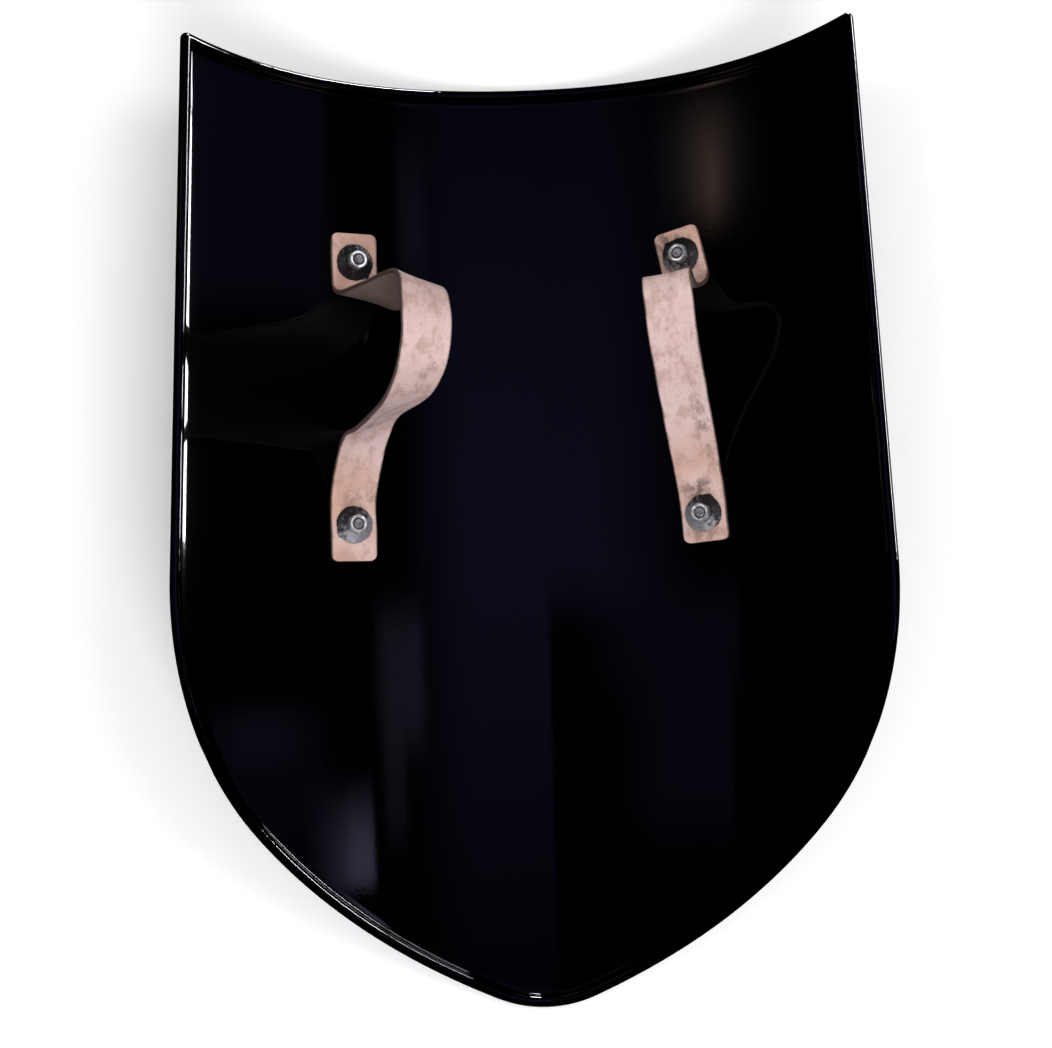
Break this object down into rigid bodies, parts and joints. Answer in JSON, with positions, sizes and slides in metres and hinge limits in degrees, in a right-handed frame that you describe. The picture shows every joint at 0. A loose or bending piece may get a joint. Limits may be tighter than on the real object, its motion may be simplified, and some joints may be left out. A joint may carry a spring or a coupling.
{
  "type": "heater shield with leather straps",
  "caption": "Curved heater shield of black-enamelled sheet steel with a rolled edge, shown back up, with a leather arm loop and a tighter hand strap bolted to the hollow side.",
  "frame": {"origin": "middle of the footprint, on the flat strip along the crown of the front, where the shield rests", "axes": "+Z off the hollow back, +Y toward the top edge with -Y at the tip, +X to the right as the back is seen with the top edge up"},
  "size_m": [0.4294, 0.6074, 0.138],
  "materials": {
    "black_enamel": "gloss black enamel with a faint navy cast",
    "leather": "undyed vegetable-tanned leather, pale tan, lightly soiled, burnished dark at the edges",
    "bolt_steel": "dull zinc-plated steel",
    "dark_steel": "dark oiled steel, hand-cut edge, grimy",
    "zinc_plate": "bright zinc plate"
  },
  "bodies": {
    "root": {"shield_plate": "black_enamel", "arm_strap": "leather", "hand_strap": "leather", "bolt_arm_top": "bolt_steel", "washer_arm_top": "dark_steel", "nut_arm_top": "zinc_plate", "bolt_arm_bottom": "bolt_steel", "washer_arm_bottom": "dark_steel", "nut_arm_bottom": "zinc_plate", "bolt_hand_top": "bolt_steel", "washer_hand_top": "dark_steel", "nut_hand_top": "zinc_plate", "bolt_hand_bottom": "bolt_steel", "washer_hand_bottom": "dark_steel", "nut_hand_bottom": "zinc_plate"}
  },
  "joints": []
}
